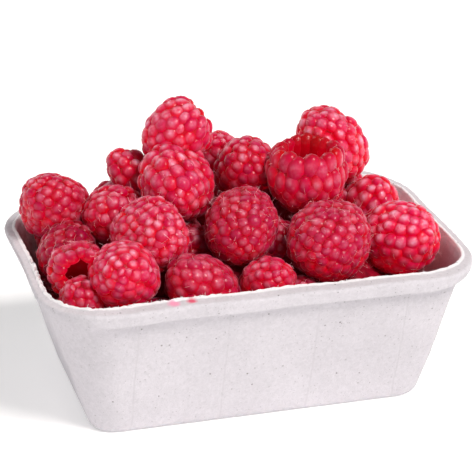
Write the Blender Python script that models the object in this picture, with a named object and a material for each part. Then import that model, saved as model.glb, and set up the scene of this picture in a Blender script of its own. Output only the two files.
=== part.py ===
"""A moulded-pulp punnet heaped with raspberries.

Two solids: the pulp tray, one thin shell of pressed fibre, and the heap of
berries in it, one body out to its uneven outline. Metres, +Z up. The origin
is on the floor under the middle of the tray; +X runs along its long side and
-Y is the side that faces the front.
"""
import math

import bmesh
import bpy
import numpy as np
from mathutils import Matrix, Vector

MM = 0.001

# Tray, driving dimensions (mm)
RIM_LENGTH, RIM_WIDTH = 125.0, 82.0      # opening between the inner edges
TRAY_HEIGHT = 46.0                       # floor to the top of the rim
FOOT_LENGTH, FOOT_WIDTH = 102.0, 60.0    # outside of the walls, run down to the floor
WALL = 1.6                               # thickness of the pressed pulp
SWELL_LONG = 2.2                         # the long walls are this much fuller under the rim
RIM_CORNER, FOOT_CORNER = 17.0, 8.0      # corner radii in plan
BOTTOM_BEND = 2.0                        # outer radius between wall and floor
FLANGE_LONG, FLANGE_SHORT = 5.2, 3.5     # rim overhang past the inner edge
RIM_ROUND = 0.8                          # rounding of the rim's two shoulders
SKIRT_LONG, SKIRT_SHORT = 4.6, 2.3       # depth of the turned-down lip
CORNER_DIP = 0.8                         # the rim is this much lower at its corners
SIDE_BOW = 0.6                           # the long sides are pulled in at their middle

# Heap
GAP = 0.5                                # clearance between heap and tray
FILL_EDGE, FILL_MIDDLE = 33.0, 52.0      # level of the packed fill at the wall, in the middle
PROP_FOOT = 24.0                         # depth to which each berry is carried

ARC_STEPS = 6                            # segments in each quarter turn of the plan
LONG_STEPS, SHORT_STEPS = 5, 3           # segments along the straight stretches
BERRY_AROUND, BERRY_RINGS = 12, 7        # facets of one berry

# Berries: centre (mm), width and length (mm), heading and rise of the tip (degrees)
BERRIES = {
    "left_end": ((-53, 16, 56), 21, 23, -145, 50),
    "left_low": ((-51.4, 3, 44.5), 18, 21, -120, 5),
    "left_cup": ((-51, -12.5, 47), 17.5, 16, 110, 25),
    "corner_low": ((-53.2, -25.6, 42), 14, 15, -135, 50),
    "front_left": ((-41, -27, 49), 21, 23, -105, 30),
    "left_mid": ((-29, -13, 53.5), 21, 24, -80, -5),
    "left_back": ((-36.5, 8, 53.5), 18, 20, -130, 20),
    "back_left_top": ((-26, 23, 60), 14, 20, 170, 45),
    "crown": ((-15, 18, 73), 19, 20, 180, -42),
    "mid_top": ((-17, 5, 62), 22, 26, -100, 0),
    "back_mid_left": ((3, 31, 60), 16, 19, -85, 55),
    "back_mid": ((8.5, 15, 61.5), 20, 23, -105, 45),
    "open_cup": ((22.5, 1, 59.5), 24, 22, 74, -87),
    "right_top": ((35.5, 19, 66), 22, 25, -145, 60),
    "centre": ((-2, -13, 52.5), 21, 23, -100, -15),
    "front_right": ((22, -22, 50), 24, 26, -120, 5),
    "right_front": ((49, -15, 46), 22, 24, -65, 25),
    "right_back": ((46, 7, 48.5), 18, 21, -85, 55),
    "front_mid_left": ((-19, -27, 43), 20, 24, -150, 40),
    "front_mid": ((2, -29, 43), 15, 19, -90, 40),
    "deep_left": ((-16, -2, 44), 15, 17, -145, 30),
    "rear_left": ((-47, 27, 42), 19, 22, 120, 40),
    "rear_mid_left": ((-31, 27, 46), 20, 23, 80, 30),
    "rear_middle": ((-13, 29, 53), 20, 23, 100, 20),
    "rear_mid_right": ((21, 28, 51), 20, 23, 60, 10),
    "rear_right": ((40, 27, 48), 19, 22, 90, 50),
    "right_end": ((50, 18, 38), 18, 20, 45, 60),
    "under_crown": ((-20, 15, 46), 20, 22, 120, 30),
    "rear_gap": ((5, 25, 46), 20, 22, 80, -10),
    "under_right_top": ((30, 13, 47), 20, 22, -10, 20),
    "low_middle": ((10, -5, 43), 20, 22, -60, 30),
    "low_right": ((35, -8, 35), 19, 22, -100, 10),
    "low_front": ((12, -26, 34), 17, 19, -70, 50),
    "low_left": ((-39, -12, 39), 18, 20, -150, 40),
}


def rounded_loop(half_x, half_y, corner_x, corner_y, height):
    """Plan outline of one level: four quarter ellipses joined by straight runs."""
    points = []
    for quarter, (sx, sy) in enumerate(((1, 1), (-1, 1), (-1, -1), (1, -1))):
        for step in range(ARC_STEPS + 1):
            turn = math.radians(90 * (quarter + step / ARC_STEPS))
            points.append((sx * (half_x - corner_x) + corner_x * math.cos(turn),
                           sy * (half_y - corner_y) + corner_y * math.sin(turn)))
        start, following = points[-1], (quarter + 1) % 4
        turn = math.radians(90 * (quarter + 1))
        nx, ny = ((-1, 1), (-1, -1), (1, -1), (1, 1))[quarter]
        end = (nx * (half_x - corner_x) + corner_x * math.cos(turn),
               ny * (half_y - corner_y) + corner_y * math.sin(turn))
        steps = SHORT_STEPS if following % 2 == 0 else LONG_STEPS
        for step in range(1, steps):
            share = step / steps
            points.append((start[0] + (end[0] - start[0]) * share,
                           start[1] + (end[1] - start[1]) * share))
    level = np.array([(x, y, height) for x, y in points])
    return sag_rim(level)


def sag_rim(level):
    """Lower the rim's corners and pull its long sides in, both fading out downwards."""
    along = np.clip(level[:, 0] / (RIM_LENGTH / 2), -1, 1)
    share = np.clip(level[:, 2] / TRAY_HEIGHT, 0, 1) ** 2
    level[:, 1] -= np.sign(level[:, 1]) * SIDE_BOW * (1 - along ** 2) * share
    level[:, 2] -= CORNER_DIP * along ** 4 * share
    return level


def wall_level(height, inward):
    """Outline of the tapering wall at a height, moved inward from its outer face."""
    share = height / TRAY_HEIGHT
    half_x = (FOOT_LENGTH + (RIM_LENGTH + 2 * WALL - FOOT_LENGTH) * share) / 2 - inward
    half_y = (FOOT_WIDTH + (RIM_WIDTH + 2 * WALL - FOOT_WIDTH) * share) / 2 - inward
    corner = FOOT_CORNER + (RIM_CORNER + WALL - FOOT_CORNER) * share - inward
    return half_x, half_y, corner, corner


def wall_loop(height, inward, swell=0.0):
    """Loop of the wall at a height; its long sides may swell outward, more towards the rim."""
    half_x, half_y, corner_x, corner_y = wall_level(height, inward)
    swell *= height / TRAY_HEIGHT
    return rounded_loop(half_x, half_y + swell, corner_x, corner_y + swell, height)


def bend_loops(radius, base, inward, swell=0.0):
    """Quarter-round bend from the floor up into the wall, floor side first."""
    loops = []
    for degrees in (0, 30, 60, 90):
        turn = math.radians(degrees)
        pull = radius * (1 - math.sin(turn))
        loops.append(wall_loop(base + radius * (1 - math.cos(turn)), inward + pull, swell))
    return loops


def rim_loop(out_long, out_short, drop_long, drop_short):
    """Outline on the rim, given how far it lies outside the inner edge and below the top."""
    loop = rounded_loop(RIM_LENGTH / 2 + out_short, RIM_WIDTH / 2 + out_long,
                        RIM_CORNER + out_short, RIM_CORNER + out_long, TRAY_HEIGHT)
    normal_y = np.abs(loop[:, 1]) - (RIM_WIDTH / 2 - RIM_CORNER)
    normal_x = np.abs(loop[:, 0]) - (RIM_LENGTH / 2 - RIM_CORNER)
    normal_x, normal_y = np.clip(normal_x, 0, None), np.clip(normal_y, 0, None)
    long_share = normal_y ** 2 / (normal_x ** 2 + normal_y ** 2)
    loop[:, 2] -= drop_short + (drop_long - drop_short) * long_share
    return loop


def skin(name, loops, colour, roughness):
    """One closed solid through a run of loops of equal count, capped at both ends."""
    count = len(loops[0])
    first = loops[0].mean(axis=0)
    last = loops[-1].mean(axis=0)
    first[2], last[2] = loops[0][0][2], loops[-1][0][2]
    vertices = np.vstack([*loops, first[None], last[None]]) * MM
    faces = []
    for row in range(len(loops) - 1):
        for i in range(count):
            j = (i + 1) % count
            faces.append((row * count + i, row * count + j,
                          (row + 1) * count + j, (row + 1) * count + i))
    start, end, top = count * len(loops), count * len(loops) + 1, (len(loops) - 1) * count
    for i in range(count):
        j = (i + 1) % count
        faces.append((start, j, i))
        faces.append((end, top + i, top + j))
    mesh = bpy.data.meshes.new(name)
    mesh.from_pydata(vertices.tolist(), [], faces)
    mesh.update()
    body = bpy.data.objects.new(name, mesh)
    bpy.context.scene.collection.objects.link(body)
    finish(body, colour, roughness)
    return body


def finish(body, colour, roughness):
    """Give the body its own plain material."""
    material = bpy.data.materials.new(body.name + "_material")
    material.use_nodes = True
    shader = material.node_tree.nodes["Principled BSDF"]
    shader.inputs["Base Color"].default_value = (*colour, 1.0)
    shader.inputs["Roughness"].default_value = roughness
    shader.inputs["Metallic"].default_value = 0.0
    body.data.materials.clear()
    body.data.materials.append(material)


def make_tray():
    """Pressed shell: floor, bend, drafted wall, round rim, flange and turned-down lip."""
    inner_round = RIM_ROUND * 0.5
    inside = bend_loops(BOTTOM_BEND - WALL, WALL, WALL)
    inside.append(wall_loop(TRAY_HEIGHT * 0.5, WALL))
    inside.append(wall_loop(TRAY_HEIGHT - inner_round, WALL))
    over = [
        rim_loop(inner_round, inner_round, 0.0, 0.0),
        rim_loop(FLANGE_LONG - 1.3 * RIM_ROUND, FLANGE_SHORT - RIM_ROUND, 0.3, 0.2),
        rim_loop(FLANGE_LONG - 0.4 * RIM_ROUND, FLANGE_SHORT - 0.3 * RIM_ROUND, 1.0, 0.8),
        rim_loop(FLANGE_LONG, FLANGE_SHORT, SKIRT_LONG, SKIRT_SHORT),
    ]
    under = [
        rim_loop(FLANGE_LONG - 0.9, FLANGE_SHORT - 0.9, SKIRT_LONG, SKIRT_SHORT),
        rim_loop(FLANGE_LONG - 1.4, FLANGE_SHORT - 1.1, WALL + 0.6, WALL + 0.5),
        rim_loop(WALL + SWELL_LONG + 0.3, WALL + 0.5, WALL + 0.5, WALL + 0.5),
    ]
    outside = [wall_loop(TRAY_HEIGHT - 4.5, 0.0, SWELL_LONG), wall_loop(TRAY_HEIGHT * 0.5, 0.0, SWELL_LONG)]
    outside += reversed(bend_loops(BOTTOM_BEND, 0.0, 0.0, SWELL_LONG))
    shell = [*inside, *over, *under, *outside]
    return skin("pulp_tray", shell[::-1], (0.80, 0.77, 0.79), 0.9)


def make_fill():
    """Packed fill: follows the tray's inside and rises from the wall to the middle."""
    clear = WALL + GAP
    loops = bend_loops(BOTTOM_BEND - WALL, WALL + GAP, clear)
    loops.append(wall_loop(FILL_EDGE, clear))
    for inset, share in ((5, 0.15), (12, 0.3), (22, 0.68), (32, 1.0)):
        half_x, half_y, corner_x, corner_y = wall_level(FILL_EDGE, clear + inset)
        corner = max(corner_x, 2.0)
        level = FILL_EDGE + (FILL_MIDDLE - FILL_EDGE) * share
        loops.append(rounded_loop(half_x, half_y, corner, corner, level))
    return skin("fill", loops, (0.5, 0.02, 0.04), 0.4)


def tip_direction(heading, rise):
    heading, rise = math.radians(heading), math.radians(rise)
    return Vector((math.cos(rise) * math.cos(heading),
                   math.cos(rise) * math.sin(heading), math.sin(rise)))


def make_berry(name, centre, width, length, heading, rise):
    """Egg-round body, stretched along the line from its base to its tip."""
    bpy.ops.mesh.primitive_uv_sphere_add(segments=BERRY_AROUND, ring_count=BERRY_RINGS,
                                         radius=0.5 * MM)
    berry = bpy.context.object
    berry.name = name
    turn = tip_direction(heading, rise).to_track_quat("Z", "Y").to_matrix().to_4x4()
    place = Matrix.Translation(Vector(centre) * MM)
    berry.data.transform(place @ turn @ Matrix.Diagonal((width, width, length, 1.0)))
    return berry


def make_prop(name, centre, width):
    """Tapered post that carries a berry down into the fill, leaning inward."""
    top = np.array(centre, float)
    foot = np.array([top[0] * 0.85, top[1] * 0.75, PROP_FOOT])
    loops = []
    for share, radius in ((0.0, 0.42 * width), (1.0, 0.36 * width)):
        middle = foot + (top - foot) * share
        turns = np.radians(np.arange(0, 360, 45) + 7.0)
        loops.append(np.stack([middle[0] + radius * np.cos(turns),
                               middle[1] + radius * np.sin(turns),
                               np.full(len(turns), middle[2])], axis=1))
    return skin(name, loops, (0.5, 0.02, 0.04), 0.4)


def keep_outer_skin(mesh):
    """Drop the skins of pockets shut in between the berries, so the body is solid."""
    work = bmesh.new()
    work.from_mesh(mesh)
    waiting, skins = set(work.faces), []
    while waiting:
        found = [waiting.pop()]
        for face in found:
            for edge in face.edges:
                for neighbour in edge.link_faces:
                    if neighbour in waiting:
                        waiting.remove(neighbour)
                        found.append(neighbour)
        skins.append(found)
    skins.sort(key=len)
    pockets = [face for skin_faces in skins[:-1] for face in skin_faces]
    bmesh.ops.delete(work, geom=pockets, context="FACES")
    work.to_mesh(mesh)
    work.free()


def make_heap():
    """Union of the fill, the berries and the posts under them: one body."""
    heap = make_fill()
    heap.name = "berry_heap"
    pieces = bpy.data.collections.new("heap_pieces")
    bpy.context.scene.collection.children.link(pieces)
    for name, (centre, width, length, heading, rise) in BERRIES.items():
        for piece in (make_berry(name, centre, width, length, heading, rise),
                      make_prop(name + "_prop", centre, width)):
            for home in list(piece.users_collection):
                home.objects.unlink(piece)
            pieces.objects.link(piece)
    union = heap.modifiers.new("berries", "BOOLEAN")
    union.operation = "UNION"
    union.operand_type = "COLLECTION"
    union.collection = pieces
    union.solver = "EXACT"
    bpy.context.view_layer.update()
    whole = bpy.data.meshes.new_from_object(heap.evaluated_get(
        bpy.context.evaluated_depsgraph_get()))
    heap.modifiers.clear()
    keep_outer_skin(whole)
    heap.data = whole
    for piece in list(pieces.objects):
        bpy.data.objects.remove(piece, do_unlink=True)
    bpy.data.collections.remove(pieces)
    finish(heap, (0.55, 0.02, 0.06), 0.4)
    return heap


def main():
    for leftover in list(bpy.data.objects):
        bpy.data.objects.remove(leftover, do_unlink=True)
    for body in (make_tray(), make_heap()):
        body.data.shade_smooth()
        body.data.set_sharp_from_angle(angle=math.radians(35))


main()
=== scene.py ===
"""Looks for a moulded-pulp punnet heaped with raspberries.

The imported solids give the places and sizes. Around them this script makes the pressed-fibre tray with
its torn rim, every raspberry as a cup of separate drupelets, the dry hairs that stand between them, the
dark fruit underneath and a plain pale stage. Lengths are in millimetres until they reach a mesh.
"""

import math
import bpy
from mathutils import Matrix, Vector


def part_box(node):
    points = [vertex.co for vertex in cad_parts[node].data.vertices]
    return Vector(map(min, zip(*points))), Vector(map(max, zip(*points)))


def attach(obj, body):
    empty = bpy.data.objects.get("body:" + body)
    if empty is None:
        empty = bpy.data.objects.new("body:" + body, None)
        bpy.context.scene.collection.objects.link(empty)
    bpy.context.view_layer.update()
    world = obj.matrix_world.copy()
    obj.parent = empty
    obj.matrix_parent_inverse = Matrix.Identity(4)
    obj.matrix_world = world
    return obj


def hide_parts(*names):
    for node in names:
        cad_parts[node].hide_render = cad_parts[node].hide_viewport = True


bl_info = {
    "name": "Raspberry punnet",
    "version": (1, 0, 0),
    "blender": (4, 5, 0),
    "location": "View3D > Sidebar > Punnet",
    "description": "Finishes a packed punnet of raspberries: pulp tray, fruit, hairs and stage",
    "category": "Object",
}

import bpy
import numpy as np
from bpy.props import FloatProperty, FloatVectorProperty, IntProperty, PointerProperty
from mathutils import Matrix, Vector

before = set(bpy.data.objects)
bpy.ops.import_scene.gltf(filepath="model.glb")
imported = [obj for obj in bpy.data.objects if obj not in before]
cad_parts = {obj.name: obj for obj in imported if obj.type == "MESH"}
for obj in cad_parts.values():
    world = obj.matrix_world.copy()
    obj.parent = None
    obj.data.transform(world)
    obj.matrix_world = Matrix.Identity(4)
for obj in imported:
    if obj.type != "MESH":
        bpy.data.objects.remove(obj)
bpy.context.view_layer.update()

MM = 0.001
TURN = 2 * math.pi

TRAY_LOW, TRAY_HIGH = (np.array(corner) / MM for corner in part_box("pulp_tray"))

# Tray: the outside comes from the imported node, the rest from the pressing (mm)
FLANGE_LONG, FLANGE_SHORT = 5.2, 3.5
RIM_LENGTH = TRAY_HIGH[0] - TRAY_LOW[0] - 2 * FLANGE_SHORT
RIM_WIDTH = TRAY_HIGH[1] - TRAY_LOW[1] - 2 * FLANGE_LONG + 0.6
TRAY_HEIGHT = TRAY_HIGH[2]
FOOT_LENGTH, FOOT_WIDTH = 102.0, 60.0
WALL = 1.6
SWELL_LONG = 2.2
RIM_CORNER, FOOT_CORNER = 17.0, 8.0
BOTTOM_BEND = 2.0
RIM_ROUND = 0.8
SKIRT_LONG, SKIRT_SHORT = 4.6, 2.3
SKIRT_DRAFT = 1.0
CORNER_DIP, SIDE_BOW = 0.8, 0.6

# Steps round a corner, along a long side and along a short side
ARC_STEPS, LONG_STEPS, SHORT_STEPS = 36, 170, 84

SEAM_SPACING = 27.0
# Specks: spacing (mm), share of them kept, reach as a share of the spacing, strength
SPECKS = ((0.9, 0.45, 0.31, 0.62), (2.2, 0.40, 0.20, 1.0))
# Stains: place (mm), reach (mm), colour, strength. The two on the rim are juice stains. The three inside
# the ends are juice tint and painted light: pale pink painted light and painted reflection of the fruit
# at the right end, and painted shade at the left end
STAINS_AND_PAINTED_LIGHT = (((-30.3, -42.9, 46.0), 2.0, "f490b4", 0.8), ((-24.9, -42.5, 46.0), 1.6, "e24468", 0.9),
          ((60.0, 12.0, 38.0), 26.0, "f4dce2", 0.8), ((60.0, -4.0, 36.0), 8.0, "ea9cb2", 0.6),
          ((-60.0, 8.0, 36.0), 24.0, "8c3c50", 0.85))

# Raspberries: centre (mm), width and length (mm), heading and rise of the tip (degrees),
# width of a drupelet (mm), how light its red is (-3 to 3), habit. How light the red is holds the
# fruit's own colour and painted light and shade: fruit low in the heap or in shade is darker, fruit
# turned to the light at the right is lighter.
BERRIES = {
    "left_end": ((-53, 16, 56), 19.5, 21.5, -145, 50, 3.1, -1.2, "round"),
    "left_low": ((-51.4, 3, 44.5), 18, 21, -120, 5, 3.5, -3.0, "round"),
    "left_cup": ((-51, -12.5, 47), 17.5, 16, 82, -6, 3.0, -0.5, "cup"),
    "corner_low": ((-53.2, -25.6, 42), 14, 15, -135, 50, 3.0, -0.6, "round"),
    "front_left": ((-41, -27, 49), 20, 22.5, -105, 30, 3.4, 0.5, "round"),
    "left_mid": ((-29, -13, 53.5), 21, 24, -80, -5, 3.2, 0.2, "hairy"),
    "left_back": ((-36.5, 8, 53.5), 18, 20, -130, 20, 3.5, -0.4, "round"),
    "back_left_top": ((-26, 23, 60), 14, 20, 170, 45, 3.8, 0.2, "coarse"),
    "crown": ((-15, 18, 73), 19, 20, 180, -42, 3.5, 0.6, "coarse"),
    "mid_top": ((-17, 5, 62), 22, 26, -100, 0, 4.2, 0.4, "coarse"),
    "back_mid_left": ((3, 31, 60), 16, 19, -85, 55, 3.6, 0.5, "round"),
    "back_mid": ((8.5, 15, 61.5), 20, 23, -105, 45, 3.5, -0.5, "round"),
    "open_cup": ((22.5, 1, 58.6), 24, 20, 74, -87, 4.0, -0.3, "cup"),
    "right_top": ((35.5, 19, 66), 22, 25, -145, 60, 4.0, 1.2, "round"),
    "centre": ((-2, -13, 52.5), 21, 23, -100, -15, 3.2, -1.8, "ridged"),
    "front_right": ((22, -22, 50), 24, 26, -120, 5, 3.6, -1.3, "hairy"),
    "right_front": ((49, -15, 46), 22, 24, -65, 25, 3.8, 2.6, "hairy"),
    "right_back": ((46, 7, 48.5), 18, 21, -85, 55, 4.4, 1.5, "coarse"),
    "front_mid_left": ((-19, -27, 43), 20, 24, -150, 40, 4.3, -1.3, "coarse"),
    "front_mid": ((2, -29, 43), 15, 19, -90, 40, 3.5, 0.1, "round"),
    "deep_left": ((-16, -2, 44), 15, 17, -145, 30, 3.4, -1, "round"),
    "rear_left": ((-47, 27, 42), 19, 22, 120, 40, 3.4, -0.4, "round"),
    "rear_mid_left": ((-31, 27, 46), 20, 23, 80, 30, 3.6, 0.3, "ridged"),
    "rear_middle": ((-13, 29, 53), 20, 23, 100, 20, 3.3, -0.2, "round"),
    "rear_mid_right": ((21, 28, 51), 20, 23, 60, 10, 3.8, 0.5, "coarse"),
    "rear_right": ((40, 27, 48), 19, 22, 90, 50, 3.4, 0, "hairy"),
    "right_end": ((50, 18, 38), 18, 20, 45, 60, 3.5, -0.7, "round"),
    "under_crown": ((-20, 15, 46), 20, 22, 120, 30, 3.5, -1, "ridged"),
    "rear_gap": ((5, 25, 46), 20, 22, 80, -10, 3.6, -0.8, "coarse"),
    "under_right_top": ((30, 13, 47), 20, 22, -10, 20, 3.6, -0.7, "ridged"),
    "low_middle": ((10, -5, 43), 20, 22, -60, 30, 3.5, -1, "ridged"),
    "low_right": ((35, -8, 35), 19, 22, -100, 10, 3.5, -0.8, "ridged"),
    "low_front": ((12, -26, 34), 17, 19, -70, 50, 3.5, -0.8, "ridged"),
    "low_left": ((-39, -12, 39), 18, 20, -150, 40, 3.5, -1, "ridged"),
    "low_gap_left": ((-30.5, -26, 31.5), 16, 19, -100, 50, 3.4, -1, "ridged"),
    "low_front_right": ((41, -24.5, 27), 17, 21, -20, 10, 3.6, -0.8, "ridged"),
    "low_right_end": ((47, 1, 28), 18, 20, 80, 20, 3.5, -0.8, "ridged"),
}

# How each habit of fruit grows: where its open end is cut (degrees from the tip), how far the last
# drupelets are drawn out, how far one ring is turned against the next, share of drupelets with a
# hair, how pointed the tip is, how much fuller the fruit is behind than in front, and how long it is
# behind its widest place against in front
HABITS = {
    "round": (142, 1.10, 0.5, 0.28, 0.00, 0.08, 1.0),
    "hairy": (142, 1.15, 0.5, 0.85, 0.00, 0.08, 1.0),
    "coarse": (138, 1.20, 0.5, 0.24, 0.00, 0.10, 1.0),
    "ridged": (136, 1.35, 0.1, 0.55, 0.00, 0.10, 1.0),
    "cup": (120, 1.55, 0.5, 0.40, 0.30, 0.16, 0.8),
}

STANDING = {"cup": 0.65}                  # how upright the last drupelets stand
PROUD = 0.17                              # drupelet tops stand this share of their width outside
BEAD_SPREAD, BEAD_RISE = 0.67, 0.50       # half width and height of a drupelet, as shares of its pitch
BEAD_AROUND = 12
BEAD_RINGS = (27, 54, 82, 115)            # degrees from the outer pole
BODY_AROUND, BODY_RINGS, HOLLOW_RINGS = 28, 16, 9
BODY_BAND = 0.12                          # share of the map kept for the bodies


def srgb(code):
    """Linear red, green and blue of an sRGB hex colour."""
    values = [int(code[i:i + 2], 16) / 255 for i in (0, 2, 4)]
    return tuple(v / 12.92 if v <= 0.04045 else ((v + 0.055) / 1.055) ** 2.4 for v in values)


def feed(made, inputs):
    """Set a node's inputs, in order or by name: each is a value, or the socket that is linked to it."""
    named = inputs if isinstance(inputs, dict) else dict(enumerate(inputs))
    for name, value in named.items():
        if isinstance(value, bpy.types.NodeSocket):
            made.id_data.links.new(value, made.inputs[name])
        else:
            made.inputs[name].default_value = value


def node(tree, kind, inputs=(), out=0, **settings):
    """Add a node with its settings and inputs, and give one of its outputs."""
    made = tree.nodes.new("ShaderNode" + kind)
    for name, value in settings.items():
        setattr(made, name, value)
    feed(made, inputs)
    return made.outputs[out]


def new_material(name):
    """A material with only its Principled shader and output."""
    material = bpy.data.materials.new(name)
    material.use_nodes = True
    return material, material.node_tree, material.node_tree.nodes["Principled BSDF"]


def rgba(colour):
    """A colour, given as linear values or as an sRGB hex code, with full opacity."""
    return (*(srgb(colour) if isinstance(colour, str) else colour), 1)


def two_stops(ramp, low, high):
    """Set a colour ramp's two stops, each a place and a colour."""
    for stop, (place, colour) in zip(ramp.node.color_ramp.elements, (low, high)):
        stop.position, stop.color = place, rgba(colour)
    return ramp


def ripple(points, wavelength, seed, waves=7):
    """Smooth random field, about -1 to 1: sine waves in random directions, added up."""
    draw = np.random.default_rng(seed)
    ways = draw.normal(size=(waves, points.shape[-1]))
    ways /= np.linalg.norm(ways, axis=1, keepdims=True)
    rates = TURN / wavelength * draw.uniform(0.7, 1.4, waves)
    phases = draw.uniform(0, TURN, waves)
    return np.sin(points @ (ways * rates[:, None]).T + phases).sum(axis=-1) / math.sqrt(2 * waves)


def smooth(value, low, high):
    """0 below low, 1 above high, and an S-shaped cubic between them."""
    share = np.clip((value - low) / (high - low), 0, 1)
    return share * share * (3 - 2 * share)


# Closed surfaces. Every body here is a run of closed loops with a pole at each end.

def run_faces(rows, around):
    """Corners of one body's faces, and each corner's place (column, row) on the run.

    Quads join loop to loop, and a fan of triangles closes each end on its pole. The run's loops go
    anticlockwise seen from the side that the first pole faces.
    """
    i = np.arange(around)
    j = (i + 1) % around
    row = np.arange(rows - 1)[:, None]
    quads = np.stack([row * around + i, (row + 1) * around + i,
                      (row + 1) * around + j, row * around + j], axis=-1).reshape(-1, 4)
    column = np.broadcast_to(np.stack([i, i, i + 1, i + 1], axis=-1), (rows - 1, around, 4))
    level = np.broadcast_to(np.array([1, 2, 2, 1]) + row[:, :, None], (rows - 1, around, 4))
    head = np.stack([np.full(around, rows * around), i, j], axis=-1)
    last = (rows - 1) * around
    tail = np.stack([last + j, last + i, np.full(around, rows * around + 1)], axis=-1)
    fans = np.concatenate([head, tail])
    fan_column = np.concatenate([np.stack([i + 0.5, i, i + 1], axis=-1),
                                 np.stack([i + 1, i, i + 0.5], axis=-1)])
    fan_level = np.concatenate([np.tile([0, 1, 1], (around, 1)),
                                np.tile([rows, rows, rows + 1], (around, 1))])
    return (quads, fans), (column.reshape(-1, 4), fan_column), (level.reshape(-1, 4), fan_level)


def make_part(loops, heads, tails, levels, place, facts):
    """Points, faces, map and attributes of many like bodies.

    loops is (bodies, rows, around, 3). levels are the rows' places on the map with both poles, place
    turns (column share, level, body) into map coordinates, facts are (bodies, rows + 2) attributes.
    """
    bodies, rows, around = loops.shape[:3]
    each = rows * around + 2
    points = np.concatenate([loops.reshape(bodies, -1, 3), heads[:, None], tails[:, None]], axis=1)
    shift = (np.arange(bodies) * each)[:, None, None]
    faces, columns, rows_of = run_faces(rows, around)
    number = np.arange(bodies)[:, None, None]
    made = {"points": points.reshape(-1, 3), "faces": [], "maps": [], "facts": {}}
    for corners, column, row in zip(faces, columns, rows_of):
        made["faces"].append((corners[None] + shift).reshape(-1, corners.shape[1]))
        spot = place(column[None] / around, levels[row][None], number)
        spot = np.stack(np.broadcast_arrays(*spot), axis=-1)
        made["maps"].append(spot.reshape(-1, corners.shape[1], 2))
    for name, value in facts.items():
        value = np.broadcast_to(value, (bodies, rows + 2))
        spread = np.repeat(value[:, 1:-1], around, axis=1)
        made["facts"][name] = np.concatenate([spread, value[:, :1], value[:, -1:]], axis=1).ravel()
    return made


def join_parts(name, parts, material, body="root"):
    """Put parts into one mesh object with its own map and attributes, riding on a body."""
    counts = np.cumsum([0] + [len(part["points"]) for part in parts])
    points = np.concatenate([part["points"] for part in parts]) * MM
    faces, maps = [], []
    for part, shift in zip(parts, counts):
        faces += [corners + shift for corners in part["faces"]]
        maps += part["maps"]
    sizes = np.concatenate([np.full(len(corners), corners.shape[1]) for corners in faces])
    corners = np.concatenate([group.ravel() for group in faces])
    mesh = bpy.data.meshes.new(name)
    mesh.vertices.add(len(points))
    mesh.vertices.foreach_set("co", points.astype(np.float32).ravel())
    mesh.loops.add(len(corners))
    mesh.loops.foreach_set("vertex_index", corners.astype(np.int32))
    mesh.polygons.add(len(sizes))
    mesh.polygons.foreach_set("loop_start", np.concatenate([[0], np.cumsum(sizes)[:-1]]).astype(np.int32))
    mesh.update(calc_edges=True)
    layer = mesh.uv_layers.new(name="OFBake")
    layer.data.foreach_set("uv", np.concatenate([m.reshape(-1, 2) for m in maps]).astype(np.float32).ravel())
    for fact in parts[0]["facts"]:
        values = np.concatenate([part["facts"][fact] for part in parts]).astype(np.float32)
        mesh.attributes.new(fact, "FLOAT", "POINT").data.foreach_set("value", values)
    mesh.shade_smooth()
    mesh.materials.append(material)
    if mesh.validate():
        raise RuntimeError(name + ": the surface has bad faces")
    made = bpy.data.objects.new(name, mesh)
    bpy.context.scene.collection.objects.link(made)
    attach(made, body)
    return made


# Raspberries

def berry_axes(heading, rise, roll):
    """Rows are the fruit's own x, y and z: z runs from the open end to the tip."""
    heading, rise = math.radians(heading), math.radians(rise)
    tip = np.array([math.cos(rise) * math.cos(heading), math.cos(rise) * math.sin(heading), math.sin(rise)])
    side = np.cross(tip, (0.0, 0.0, 1.0))
    side /= np.linalg.norm(side)
    lift = np.cross(side, tip)
    return np.stack([math.cos(roll) * side + math.sin(roll) * lift,
                     math.cos(roll) * lift - math.sin(roll) * side, tip])


def berry_outline(spec, turns):
    """Radius, height and slope of the fruit's outline at angles from the tip.

    Radius = sin(angle) to a power just over 1, times (1 - fullness cos(angle)), scaled to the width,
    so the tip can be pointed and the fruit is fullest behind its middle. Height = cos(angle),
    stretched so that the tip and the lip are a length apart, and less behind the widest place.
    """
    _, width, length, _, _, drupelet, _, habit = spec
    lip, _, _, _, point, fullness, blunt = HABITS[habit]
    half, span = width / 2 + PROUD * drupelet, length + PROUD * drupelet
    fine = np.linspace(0, math.pi, 721)

    def breadth(angle):
        return np.sin(angle) ** (1 + point) * (1 - fullness * np.cos(angle))

    stretch = span / (1 - blunt * math.cos(math.radians(lip)))
    radii = half * breadth(fine) / breadth(fine).max()
    heights = length / 2 - stretch * (1 - np.where(fine < math.pi / 2, 1, blunt) * np.cos(fine))
    dr, dz = np.gradient(radii), np.gradient(heights)
    size = np.hypot(dr, dz)
    read = [np.interp(turns, fine, values) for values in (radii, heights, dr / size, dz / size)]
    return read[0], read[1], np.stack(read[2:], axis=-1)


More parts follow.
